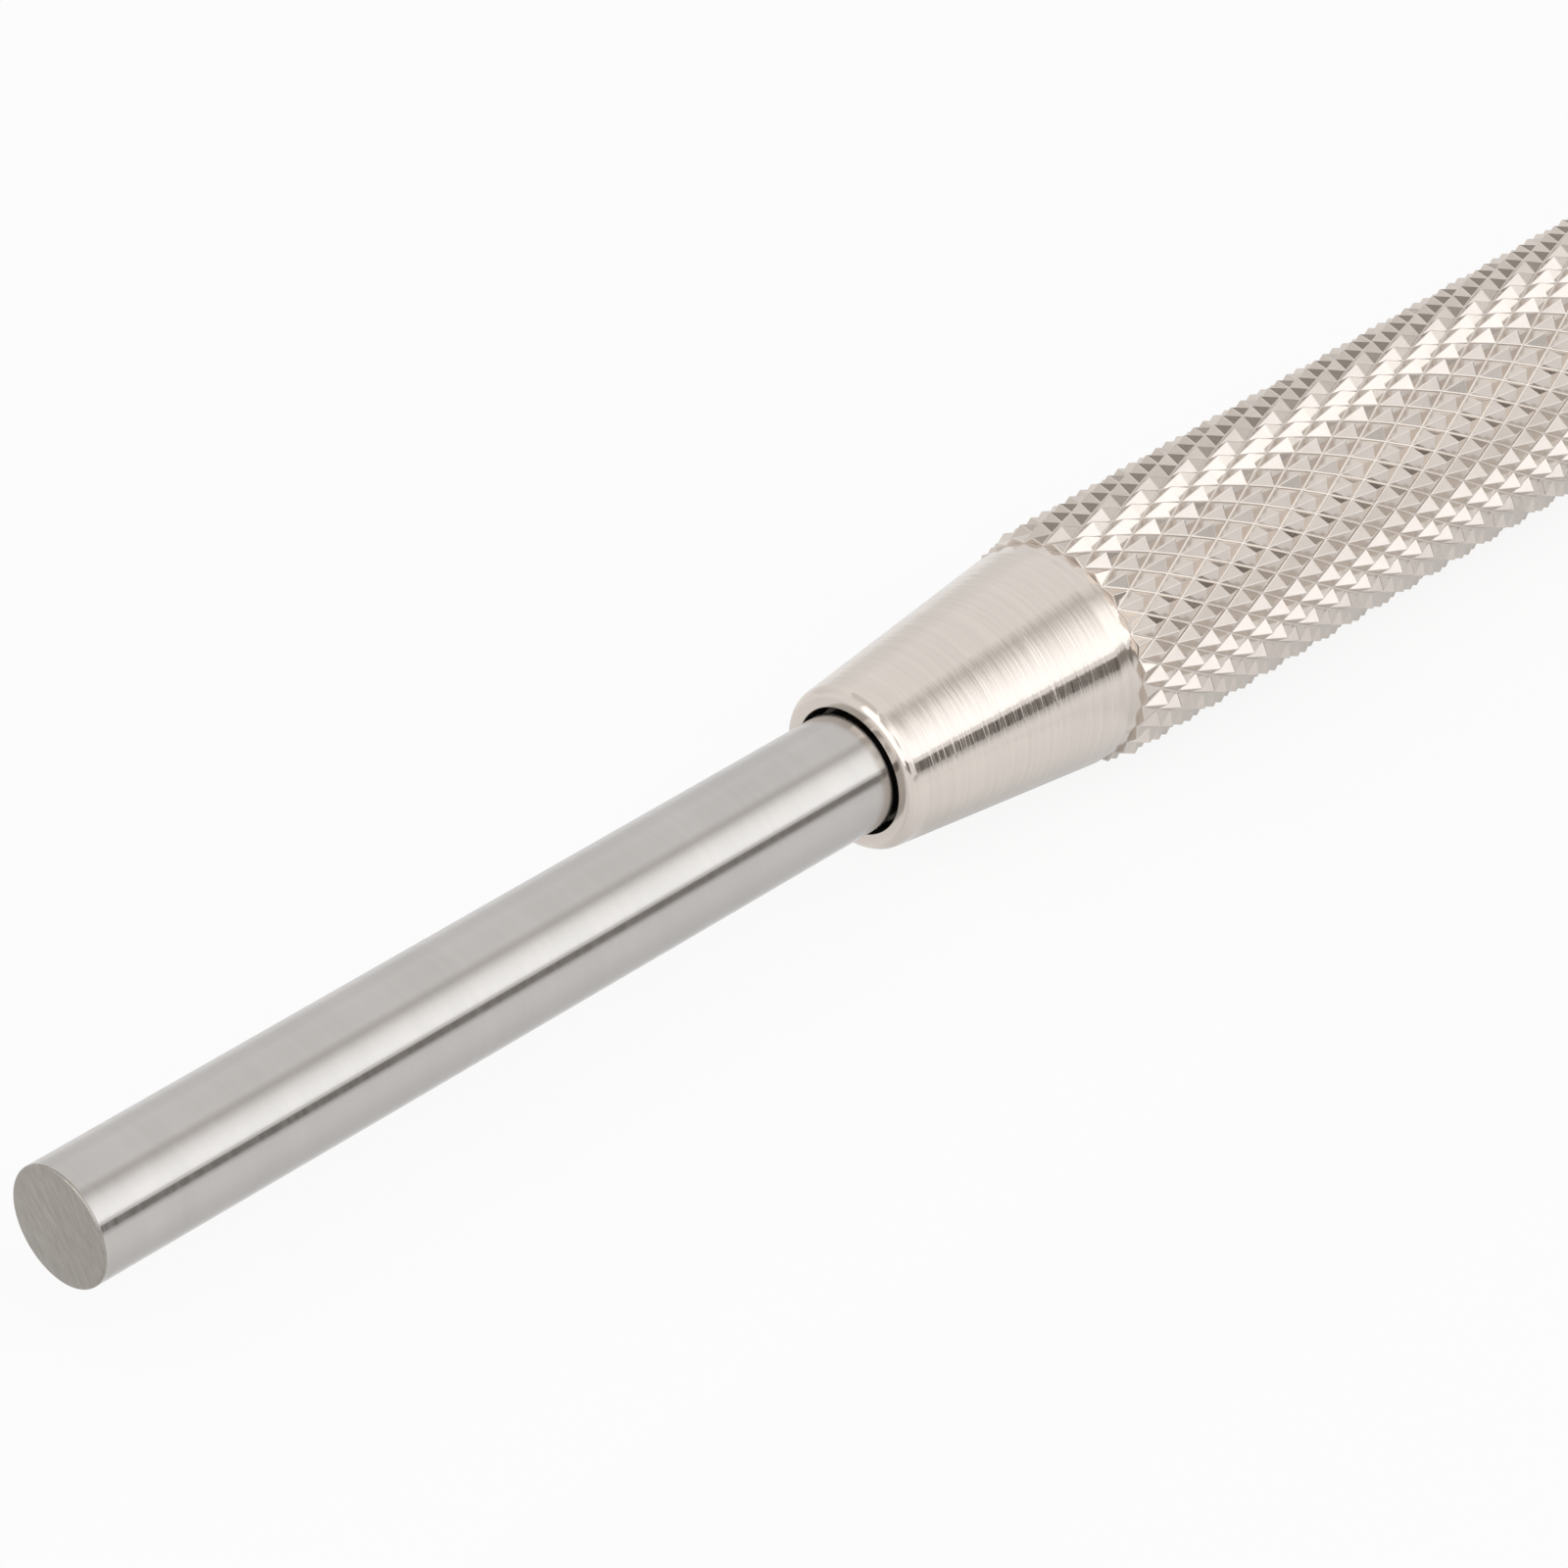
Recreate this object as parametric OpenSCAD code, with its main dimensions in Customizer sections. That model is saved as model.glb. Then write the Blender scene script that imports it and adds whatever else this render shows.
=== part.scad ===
// Pin punch with a sliding guide sleeve.
// A ground steel pin is pressed into a plain striking head. A knurled and nickel-plated
// sleeve slides and turns on the pin, and steadies it while it drives a pin out of a hole.
// The tool lies along X. The origin is the centre of the pin's flat working face, and
// the pin runs back from there towards +X. All sizes are in millimetres.

/* [Punch pin] */
// Diameter of the ground working pin
pin_d = 5.9; // [5.2:0.1:6.3]
// Length from the working face to where the grinding stops
ground_len = 48.2; // [40:0.1:56]
// Width of the run-out groove at the end of the ground length
runout_w = 1.0; // [0.6:0.1:2]
// Depth of the run-out groove
runout_depth = 0.2; // [0.18:0.02:0.4]
// Small bevel round the edge of the working face
tip_bevel = 0.12; // [0.05:0.01:0.4]

/* [Guide sleeve] */
// Diameter of the bar that the sleeve is turned from
sleeve_d = 12; // [11.6:0.1:14]
// Length of the sleeve
sleeve_len = 81.7; // [70:0.5:90]
// Length of the tapered nose
nose_len = 13; // [10:0.5:15]
// Diameter that the taper points at where it meets the front plane
nose_front_d = 8.15; // [8:0.05:9]
// Diameter at the rear end of the taper
nose_rear_d = 11; // [10.2:0.1:11]
// Rounding of the front lip
lip_round = 0.55; // [0.2:0.05:0.55]
// Length of the plain band between the taper and the knurl
front_band_len = 1.2; // [0.5:0.1:4]
// Length of the plain band behind the knurl
rear_band_len = 6; // [2:0.5:10]
// Bevel at the rear end of the sleeve
rear_bevel = 0.6; // [0.2:0.1:1]

/* [Knurl] */
// Distance between neighbouring grooves, square to them
knurl_pitch = 1.2; // [1:0.05:1.6]
// Depth from the points of the knurl to its grooves
knurl_depth = 0.55; // [0.3:0.05:0.7]
// Height of the points above the plain bands
knurl_rise = 0.1; // [0.02:0.01:0.2]
// Lean of the grooves that climb to the right of the axis, in degrees
right_lean = 34; // [20:0.5:45]
// Share of a groove's spacing that each row of points turns by; a half gives even diamonds
row_turn_share = 0.6; // [0.4:0.05:0.6]

/* [Guiding] */
// Radial clearance between the pin and what slides on it
run_gap = 0.05; // [0.02:0.01:0.09]
// Extra radius of the wider mouth in front of the guide bore
mouth_room = 0.2; // [0.1:0.05:0.45]
// Depth of the wider mouth
mouth_depth = 2.4; // [1:0.1:4]
// Small bevel at the edge of the mouth
mouth_bevel = 0.1; // [0.05:0.05:0.2]
// Length of the guide bore behind the mouth
guide_len = 13.6; // [8:0.1:14]
// Radius of the hollow round the pin, beyond the pin itself
hollow_room = 1.35; // [1.2:0.05:1.6]
// Length of the bush that closes the rear of the sleeve
bush_len = 12; // [8:0.5:16]

/* [Rings] */
// Depth of the friction ring's groove in the pin
friction_groove_depth = 0.45; // [0.3:0.05:0.6]
// Free length on each side of the friction ring in its groove
friction_side_gap = 0.1; // [0.05:0.05:0.3]
// Distance from the end of the guide bore to the friction ring's groove
friction_setback = 1.4; // [0.8:0.1:2]
// Width of the pin left between the two rings' grooves
ring_land = 2.85; // [1:0.05:5]
// Wire diameter of the stop ring
stop_wire_d = 1.2; // [1:0.1:1.4]
// Depth of the stop ring's groove in the pin
stop_groove_depth = 0.5; // [0.3:0.05:0.6]
// Free length on each side of the stop ring in its groove
stop_side_gap = 0.05; // [0.03:0.01:0.1]
// Angle left open between the stop ring's ends, in degrees
stop_opening = 40; // [20:5:90]
// Room left between the bush and the stop ring at full travel
stop_gap = 0.3; // [0.2:0.05:0.5]

/* [Striking head] */
// Diameter of the striking head
head_d = 12; // [10:0.1:12.1]
// Length of the striking head
head_len = 19.7; // [15:0.1:25]
// Bevel width round the striking face, measured along the radius
face_bevel = 1.1; // [0.5:0.1:2]
// Bevel length round the striking face, measured along the axis
face_bevel_len = 1.6; // [0.5:0.1:3]
// Bevel at the front end of the head
head_front_bevel = 0.5; // [0.2:0.1:1]
// Depth that the pin is pressed into the head
press_depth = 13; // [8:0.5:14]
// Space left at the bottom of the head's hole
hole_end_gap = 0.5; // [0.2:0.1:1]
// Room between the sleeve at rest and the head
head_gap = 0.3; // [0.2:0.05:0.5]
// Room between the run-out groove's front edge and the sleeve's front plane at rest
mouth_setback = 0.1; // [0.1:0.05:0.5]

/* [Hidden] */

// How far a cut runs past the face that it opens
cut_over = 1;
round_fn = 96;
ring_fn = 48;
arc_steps = 6;
full_turn = 360;
square_angle = 90;

pin_r = pin_d / 2;
guide_r = pin_r + run_gap;
mouth_r = pin_r + mouth_room;
hollow_r = pin_r + hollow_room;
sleeve_r = sleeve_d / 2;

// Places along the axis at rest, counted from the working face
sleeve_front = ground_len + mouth_setback;
sleeve_rear = sleeve_front + sleeve_len;
head_front = sleeve_rear + head_gap;
head_rear = head_front + head_len;
pin_rear = head_front + press_depth;
guide_end = sleeve_front + mouth_depth + guide_len;
bush_front = sleeve_rear - bush_len;
knurl_front = sleeve_front + nose_len + front_band_len;
knurl_rear = sleeve_rear - rear_band_len;

// The friction ring fills the space between its groove and the hollow, less the running gaps
friction_wire_d = hollow_room + friction_groove_depth - 2 * run_gap;
friction_groove_w = friction_wire_d + 2 * friction_side_gap;
friction_front = guide_end + friction_setback;
friction_mid = friction_front + friction_groove_w / 2;
friction_mid_r = hollow_r - run_gap - friction_wire_d / 2;

// The sleeve slides forward until its bush meets the stop ring
stop_groove_w = stop_wire_d + 2 * stop_side_gap;
stop_mid = friction_front + friction_groove_w + ring_land + stop_groove_w / 2;
travel = bush_front - stop_mid - stop_wire_d / 2 - stop_gap;
stop_mid_r = pin_r - stop_groove_depth + run_gap + stop_wire_d / 2;

// The tapered nose and its rounded lip
nose_front_r = nose_front_d / 2;
nose_rear_r = nose_rear_d / 2;
nose_slope = atan((nose_rear_r - nose_front_r) / nose_len);
lip_mid_r = nose_front_r + lip_round * tan(nose_slope) - lip_round / cos(nose_slope);

// The knurl's points and grooves stand on rows round the sleeve
knurl_len = knurl_rear - knurl_front;
knurl_tip_r = sleeve_r + knurl_rise;
knurl_root_r = knurl_tip_r - knurl_depth;
left_lean = atan(tan(right_lean) * (1 - row_turn_share) / row_turn_share);
mean_lean = (right_lean + left_lean) / 2;
knurl_starts = round(PI * sleeve_d * cos(mean_lean) / knurl_pitch);
lean_sum = tan(right_lean) + tan(left_lean);
knurl_rows = round(knurl_len * knurl_starts * lean_sum / (PI * sleeve_d));
row_step = knurl_len / knurl_rows;
start_angle = full_turn / knurl_starts;

echo(pin_d=pin_d, overall_len=head_rear, sleeve_front=sleeve_front, guide_end=guide_end);
echo(bush_front=bush_front, knurl_front=knurl_front, knurl_rear=knurl_rear, pin_rear=pin_rear);
echo(friction_mid=friction_mid, friction_wire_d=friction_wire_d, stop_mid=stop_mid, travel=travel);
echo(knurl_starts=knurl_starts, knurl_rows=knurl_rows, row_step=row_step, nose_slope=nose_slope);

// Turns what is drawn up the Z axis so that it lies along X
module along_axis() {
    rotate([0, square_angle, 0])
        children();
}

// A plain round length of radius r, from place a to place b on the axis
module rod(a, b, r) {
    translate([0, 0, a])
        cylinder(h = b - a, r = r, $fn = round_fn);
}

// A round length whose radius runs from ra at place a to rb at place b
module taper(a, b, ra, rb) {
    translate([0, 0, a])
        cylinder(h = b - a, r1 = ra, r2 = rb, $fn = round_fn);
}

// A square-sided groove turned into a rod of radius r
module groove(a, b, r, depth) {
    difference() {
        rod(a, b, r + cut_over);
        rod(a - cut_over, b + cut_over, r - depth);
    }
}

// A ring of round wire, open by the angle gap
module wire_ring(place, mid_r, wire_d, gap) {
    translate([0, 0, place])
        rotate([0, 0, gap / 2])
            rotate_extrude(angle = full_turn - gap, $fn = round_fn)
                translate([mid_r, 0])
                    circle(d = wire_d, $fn = ring_fn);
}

// The ground pin, with grooves for the grinding run-out and for the two rings
module punch_pin() {
    color([0.74, 0.73, 0.71])
        along_axis()
            difference() {
                union() {
                    taper(0, tip_bevel, pin_r - tip_bevel, pin_r);
                    rod(tip_bevel, pin_rear, pin_r);
                }
                groove(ground_len, ground_len + runout_w, pin_r, runout_depth);
                groove(
                    friction_front, friction_front + friction_groove_w,
                    pin_r, friction_groove_depth
                );
                groove(
                    stop_mid - stop_groove_w / 2, stop_mid + stop_groove_w / 2,
                    pin_r, stop_groove_depth
                );
            }
}

// The plain round head that the hammer strikes, with a blind hole for the pin
module striking_head() {
    head_r = head_d / 2;
    bevel_start = head_rear - face_bevel_len;
    color([0.72, 0.70, 0.67])
        along_axis()
            difference() {
                union() {
                    taper(head_front, head_front + head_front_bevel, head_r - head_front_bevel, head_r);
                    rod(head_front + head_front_bevel, bevel_start, head_r);
                    taper(bevel_start, head_rear, head_r, head_r - face_bevel);
                }
                rod(head_front - cut_over, pin_rear + hole_end_gap, pin_r);
            }
}

// Points on the rounded lip, from the front plane to the taper
lip_points = [
    for (k = [0:arc_steps])
        let (a = -square_angle + k / arc_steps * (square_angle - nose_slope))
            [lip_mid_r + lip_round * cos(a), lip_round + lip_round * sin(a)]
];

// The nose and the plain front band, turned as one outline
module nose_solid() {
    translate([0, 0, sleeve_front])
        rotate_extrude($fn = round_fn)
            polygon(concat(
                [[0, 0]],
                lip_points,
                [
                    [nose_rear_r, nose_len],
                    [nose_rear_r, nose_len + front_band_len],
                    [0, nose_len + front_band_len]
                ]
            ));
}

// A point on row m of the knurl: the grooves cross at whole steps, the tips stand half a step on
function knurl_point(m, step, r) =
    let (a = start_angle * (step + m * row_turn_share))
        [r * cos(a), r * sin(a), knurl_front + m * row_step];

// The knurled length: four slanted facets round each tip
module knurl_solid() {
    ring = 2 * knurl_starts;
    points = [
        for (m = [0:knurl_rows])
            for (i = [0:knurl_starts - 1])
                each [
                    knurl_point(m, i, knurl_root_r),
                    knurl_point(m, i + 1 / 2, knurl_tip_r)
                ]
    ];
    // Number of the groove crossing and of the tip on row m at step i
    function crossing(m, i) = m * ring + 2 * (i % knurl_starts);
    function tip(m, i) = crossing(m, i) + 1;
    facets = [
        for (m = [0:knurl_rows - 1])
            for (i = [0:knurl_starts - 1])
                each [
                    [tip(m, i), crossing(m, i), crossing(m + 1, i)],
                    [tip(m, i), crossing(m + 1, i), crossing(m, i + 1)],
                    [tip(m + 1, i), crossing(m, i + 1), crossing(m + 1, i)],
                    [tip(m + 1, i), crossing(m + 1, i + 1), crossing(m, i + 1)]
                ]
    ];
    // Each end is closed by triangles that meet at its centre
    front_centre = len(points);
    rear_centre = front_centre + 1;
    last_row = knurl_rows * ring;
    front_cap = [for (i = [0:ring - 1]) [front_centre, i, (i + 1) % ring]];
    rear_cap = [for (i = [0:ring - 1]) [rear_centre, last_row + (i + 1) % ring, last_row + i]];
    centres = [[0, 0, knurl_front], [0, 0, knurl_rear]];
    polyhedron(
        points = concat(points, centres),
        faces = concat(facets, front_cap, rear_cap),
        convexity = 4
    );
}

// The knurled sleeve: nose, knurl and rear band, hollow for the pin, the rings and the bush
module guide_sleeve() {
    color([0.84, 0.81, 0.77])
        along_axis()
            difference() {
                union() {
                    nose_solid();
                    knurl_solid();
                    rod(knurl_rear, sleeve_rear - rear_bevel, sleeve_r);
                    taper(sleeve_rear - rear_bevel, sleeve_rear, sleeve_r, sleeve_r - rear_bevel);
                }
                taper(
                    sleeve_front - mouth_bevel, sleeve_front + mouth_bevel,
                    mouth_r + 2 * mouth_bevel, mouth_r
                );
                rod(sleeve_front - cut_over, sleeve_front + mouth_depth, mouth_r);
                rod(sleeve_front, guide_end + cut_over, guide_r);
                rod(guide_end, sleeve_rear + cut_over, hollow_r);
            }
}

// The bush pressed into the rear of the sleeve, which also holds the sleeve on behind the stop ring
module rear_guide_bush() {
    color([0.72, 0.58, 0.36])
        along_axis()
            difference() {
                rod(bush_front, sleeve_rear, hollow_r);
                rod(bush_front - cut_over, sleeve_rear + cut_over, guide_r);
            }
}

// The rubber ring that drags on the hollow, so that the sleeve stays where it is put
module friction_ring() {
    color([0.08, 0.08, 0.08])
        along_axis()
            wire_ring(friction_mid, friction_mid_r, friction_wire_d, 0);
}

// The split spring-wire ring that stops the sleeve from sliding off the front
module stop_ring() {
    color([0.45, 0.46, 0.48])
        along_axis()
            wire_ring(stop_mid, stop_mid_r, stop_wire_d, stop_opening);
}

punch_pin();
striking_head();
guide_sleeve();
rear_guide_bush();
friction_ring();
stop_ring();
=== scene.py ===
# %% [markdown]
# # A pin punch with a sliding guide sleeve
#
# A pin punch drives a pin out of its hole. This one is a ground steel pin in a plain head,
# with a knurled sleeve that slides forward to steady the pin. The CAD model already holds
# every piece at its real size. This script gives the pieces that show their finish: a mirror
# of ground steel, satin nickel over turning lines, and a crisp diamond knurl.
#
# All lengths are in metres. The tool lies along X, with its working face at the origin.

# %% Load the frame
import math

import bpy
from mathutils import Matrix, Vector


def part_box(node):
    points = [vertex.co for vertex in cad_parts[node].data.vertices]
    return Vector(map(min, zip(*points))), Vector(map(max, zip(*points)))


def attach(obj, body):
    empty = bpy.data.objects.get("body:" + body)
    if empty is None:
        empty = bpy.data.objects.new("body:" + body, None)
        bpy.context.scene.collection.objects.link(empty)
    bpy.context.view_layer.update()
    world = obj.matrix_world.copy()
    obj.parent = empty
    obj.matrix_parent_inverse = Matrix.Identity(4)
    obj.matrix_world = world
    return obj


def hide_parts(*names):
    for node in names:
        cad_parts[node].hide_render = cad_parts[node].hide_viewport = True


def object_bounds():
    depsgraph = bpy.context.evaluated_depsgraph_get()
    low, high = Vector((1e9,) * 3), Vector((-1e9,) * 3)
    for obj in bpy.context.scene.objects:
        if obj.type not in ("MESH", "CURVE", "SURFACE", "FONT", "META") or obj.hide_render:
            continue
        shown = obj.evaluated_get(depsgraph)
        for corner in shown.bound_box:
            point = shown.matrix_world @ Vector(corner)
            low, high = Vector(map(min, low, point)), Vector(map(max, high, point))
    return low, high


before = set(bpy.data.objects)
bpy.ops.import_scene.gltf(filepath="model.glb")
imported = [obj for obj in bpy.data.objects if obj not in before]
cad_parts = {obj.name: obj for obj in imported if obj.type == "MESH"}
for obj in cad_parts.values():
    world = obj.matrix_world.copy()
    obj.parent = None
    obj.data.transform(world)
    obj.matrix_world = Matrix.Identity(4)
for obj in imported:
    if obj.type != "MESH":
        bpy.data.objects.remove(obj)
cad_low, cad_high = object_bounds()
MM = 0.001


def in_mm(*lengths):
    return [round(length / MM, 2) for length in lengths]


print("CAD box in mm:", in_mm(*cad_low, *cad_high))

# %% [markdown]
# ## The camera
#
# A photograph of a long thin thing gives its camera away: the pin's two edges close up as
# they go back, and its round end face shows as an ellipse. A long lens keeps the closing
# small. We could place the camera by eye, but here the lens, the turn and the height were
# worked out from the edges, and the working face is put where the picture has it.

# %% Camera values
PHOTO_SIDE_PX = 1600
SENSOR_WIDTH_MM = 36
LENS_MM = 172.7
CAMERA_TURN = math.radians(-45.9)
CAMERA_HEIGHT = math.radians(33.9)
FACE_PIXEL = (59.4, 1253)
FACE_DEPTH = 317.8 * MM
NEAREST_SEEN, FARTHEST_SEEN = MM, 100
print("lens and depth of the working face in mm:", LENS_MM, in_mm(FACE_DEPTH))

# %% [markdown]
# ## Placing the camera
#
# By hand we would push the camera about until the picture fits. In code it is surer to
# work backwards: its three directions follow from its turn and its height, and along them
# we step back from the working face, which is at the origin.

# %% Camera
def view_directions(turn, height):
    """The camera's right, up and forward directions for a turn about Z and a height above level."""
    right = (math.cos(turn), math.sin(turn), 0)
    forward = (-math.sin(turn) * math.cos(height), math.cos(turn) * math.cos(height), -math.sin(height))
    up = (-math.sin(turn) * math.sin(height), math.cos(turn) * math.sin(height), math.cos(height))
    return right, up, forward


def add_camera():
    """Puts the camera so that the working face's centre falls on its pixel, at its depth."""
    right, up, forward = view_directions(CAMERA_TURN, CAMERA_HEIGHT)
    pixels_per_unit = LENS_MM / SENSOR_WIDTH_MM * PHOTO_SIDE_PX
    across = (FACE_PIXEL[0] - PHOTO_SIDE_PX / 2) / pixels_per_unit
    down = (FACE_PIXEL[1] - PHOTO_SIDE_PX / 2) / pixels_per_unit
    place = [-FACE_DEPTH * (forward[k] + across * right[k] - down * up[k]) for k in range(3)]
    bpy.ops.object.camera_add(location=place, rotation=(math.pi / 2 - CAMERA_HEIGHT, 0, CAMERA_TURN))
    camera = bpy.context.object
    camera.data.sensor_width = SENSOR_WIDTH_MM
    camera.data.lens = LENS_MM
    camera.data.clip_start = NEAREST_SEEN
    camera.data.clip_end = FARTHEST_SEEN
    bpy.context.scene.camera = camera
    print("camera in mm:", in_mm(*place))


add_camera()

# %% [markdown]
# ## Sizes read from the frame
#
# Every new piece must sit exactly where the CAD piece is. Typed sizes could drift from it, so
# we read the boxes of the CAD nodes and take the ends and the radius of each piece from
# them. The sleeve's box reaches to the tips of its knurl, a little above the bar.

# %% Sizes
sleeve_low, sleeve_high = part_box("guide_sleeve")
_, pin_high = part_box("punch_pin")
head_low, head_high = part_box("striking_head")
KNURL_RISE = 0.1 * MM
SLEEVE_FRONT, SLEEVE_REAR = sleeve_low.x, sleeve_high.x
KNURL_TIP_R = sleeve_high.z
SLEEVE_R = KNURL_TIP_R - KNURL_RISE
PIN_R = pin_high.z
PIN_REAR = pin_high.x
HEAD_FRONT, HEAD_REAR, HEAD_R = head_low.x, head_high.x, head_high.z
print("ends of the sleeve in mm:", in_mm(SLEEVE_FRONT, SLEEVE_REAR))
print("radius of sleeve and pin in mm:", in_mm(SLEEVE_R, PIN_R))

# %% [markdown]
# ## Tools of the trade: edit mode from code
#
# An operator does what a menu entry does, and works on everything that is selected. So all
# else is deselected first. A finished piece's object stays at the origin, unturned and
# unscaled, with its place in its mesh: then a pattern on Object coordinates sits on the
# piece where we meant it, and its neighbours share its frame.

# %% Selecting and placing
def deselect_all():
    bpy.ops.object.select_all(action="DESELECT")


def select_only(piece):
    deselect_all()
    piece.select_set(True)
    bpy.context.view_layer.objects.active = piece


def apply_place(piece):
    """Leaves the object at the origin, unturned, with its place in its mesh."""
    select_only(piece)
    bpy.ops.object.transform_apply(location=True, rotation=True, scale=True)


def edit_all():
    """Opens the active piece in edit mode, with all of it selected."""
    bpy.ops.object.mode_set(mode="EDIT")
    bpy.ops.mesh.select_all(action="SELECT")


def leave_edit():
    bpy.ops.object.mode_set(mode="OBJECT")


def report(piece):
    triangles = sum(len(p.vertices) - 2 for p in piece.data.polygons)
    print(piece.name, "has", triangles, "triangles and measures", in_mm(*piece.dimensions), "mm")


# %% [markdown]
# ## A lathe made of extrusions
#
# Round metal parts are turned on a lathe: one outline goes round an axis. Blender's Spin would
# do that. Here we start with a circle instead, then extrude it along the axis and scale it,
# step after step, just as a hand would with E, G and S, because each step of the outline is
# then simply a place on the axis and a radius.

# %% Turning an outline
def add_ring(name, place, radius, corners, fill):
    """A circle square to the X axis, with or without a disc in it."""
    deselect_all()
    bpy.ops.mesh.primitive_circle_add(
        vertices=corners, radius=radius, fill_type=fill,
        location=(place, 0, 0), rotation=(0, math.pi / 2, 0),
    )
    piece = bpy.context.object
    piece.name = name
    piece.data.name = name
    apply_place(piece)
    return piece


def scale_about_axis(scale):
    bpy.ops.transform.resize(value=(1, scale, scale), center_override=(0, 0, 0))


def extrude_to(step, scale):
    """Extrudes what is selected along X by step, then scales it about the axis."""
    bpy.ops.mesh.extrude_region_move(TRANSFORM_OT_translate={"value": (step, 0, 0)})
    scale_about_axis(scale)


def turn_outline(piece, outline):
    """Extrudes the piece's ring along the outline, a list of (place, radius)."""
    edit_all()
    for (place, radius), (next_place, next_radius) in zip(outline, outline[1:]):
        extrude_to(next_place - place, next_radius / radius)
    leave_edit()


# %% [markdown]
# ## One closed skin
#
# An outline that comes back to its start leaves two rings in one place. Merging by distance
# closes the skin, and then its faces are all turned outwards. Smooth shading by angle rounds
# the lathe's steps and leaves the real edges sharp.

# %% Closing and smoothing
MERGE_WITHIN = MM / 1000


def close_and_face_out(piece):
    """Merges points that meet and turns all faces outwards."""
    select_only(piece)
    edit_all()
    bpy.ops.mesh.remove_doubles(threshold=MERGE_WITHIN)
    bpy.ops.mesh.normals_make_consistent(inside=False)
    leave_edit()


def smooth_below(piece, degrees):
    """Smooth shading where faces meet more flatly than this angle."""
    select_only(piece)
    bpy.ops.object.shade_smooth_by_angle(angle=math.radians(degrees))


# %% [markdown]
# ## A turned piece
#
# Three pieces are made by the same steps, so these are one function. A bar starts with a
# disc, and the first extrusion leaves it a disc at both ends. A hollow piece starts with a
# bare ring, and its outline comes back to it. Fewer corners would show in a reflection.

# %% Turned piece
ROUND_SIDES = 192
SMOOTH_DEGREES = 30
DISC, BARE_RING = "TRIFAN", "NOTHING"


def turned_piece(name, outline, start):
    """A closed and smoothed piece of this outline. start is DISC or BARE_RING."""
    piece = add_ring(name, *outline[0], ROUND_SIDES, start)
    turn_outline(piece, outline)
    close_and_face_out(piece)
    smooth_below(piece, SMOOTH_DEGREES)
    report(piece)
    return piece


# %% [markdown]
# ## Arcs and straight lengths
#
# A rounded edge is an arc in the outline. Where it runs into a straight length, smooth
# shading would bend the reflections of the whole length towards the arc, because a face
# blends the shading of its corners. A close partner point at each end of the length holds
# its shading straight, as a supporting edge does.

# %% Outline pieces
HOLD = 0.04 * MM


def arc(mid_place, mid_radius, radius, start, stop, steps):
    """Points of an arc in an outline. Angle 0 points away from the axis, and 90 to the rear."""
    angles = [start + (stop - start) * k / steps for k in range(steps + 1)]
    return [(mid_place + radius * math.sin(a), mid_radius + radius * math.cos(a)) for a in angles]


def held(start, stop):
    """A straight length's ends, each with a close partner that keeps its shading straight."""
    share = HOLD / math.dist(start, stop)
    near_start = tuple(a + (b - a) * share for a, b in zip(start, stop))
    near_stop = tuple(b + (a - b) * share for a, b in zip(start, stop))
    return [start, near_start, near_stop, stop]


# %% [markdown]
# ## The ground pin
#
# The real pin is a hardened rod, ground until it is as even as a mirror along its length.
# Its end face is flat with a fine broken edge. A plain cylinder has an edge that is too
# sharp, so the outline has a small rounded edge, the groove at the sleeve's mouth where the
# grinding wheel ran out, and the two grooves for the rings.

# %% Pin
EDGE_STEPS = 4
TIP_EDGE = 0.12 * MM
GROUND_LEN = 48.2 * MM
RUNOUT_W = 1 * MM
RUNOUT_R = PIN_R - 0.2 * MM
FRICTION_GROOVE = (65.7 * MM, 67.6 * MM)
FRICTION_GROOVE_R = PIN_R - 0.45 * MM
STOP_GROOVE = (70.45 * MM, 71.75 * MM)
STOP_GROOVE_R = PIN_R - 0.5 * MM


def square_groove(front, rear, floor_r):
    """Outline points of a square-sided groove in the pin."""
    return [(front, PIN_R), (front, floor_r), (rear, floor_r), (rear, PIN_R)]


def pin_outline():
    """From the edge of the working face to the rear end."""
    outline = arc(TIP_EDGE, PIN_R - TIP_EDGE, TIP_EDGE, -math.pi / 2, 0, EDGE_STEPS)
    outline += held(outline.pop(), (GROUND_LEN, PIN_R))
    outline += square_groove(GROUND_LEN, GROUND_LEN + RUNOUT_W, RUNOUT_R)[1:]
    outline += square_groove(*FRICTION_GROOVE, FRICTION_GROOVE_R)
    outline += square_groove(*STOP_GROOVE, STOP_GROOVE_R)
    return outline + [(PIN_REAR, PIN_R)]


pin = turned_piece("ground_pin", pin_outline(), DISC)

# %% [markdown]
# ## The striking head
#
# The rear of the tool is a plain turned head that takes the hammer's blows. Its rear edge is
# bevelled so that it can spread without splitting. A cylinder with a Bevel modifier would
# have the same edge at both ends. One outline, from the bored hole for the pin to the struck
# face, gives each end its own.

# %% Head
HEAD_FRONT_BEVEL = 0.5 * MM
FACE_BEVEL = 1.1 * MM
FACE_BEVEL_LEN = 1.6 * MM
HEAD_EDGE = 0.2 * MM
SEAT_GAP = 0.5 * MM
CENTRE_R = 0.2 * MM


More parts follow.
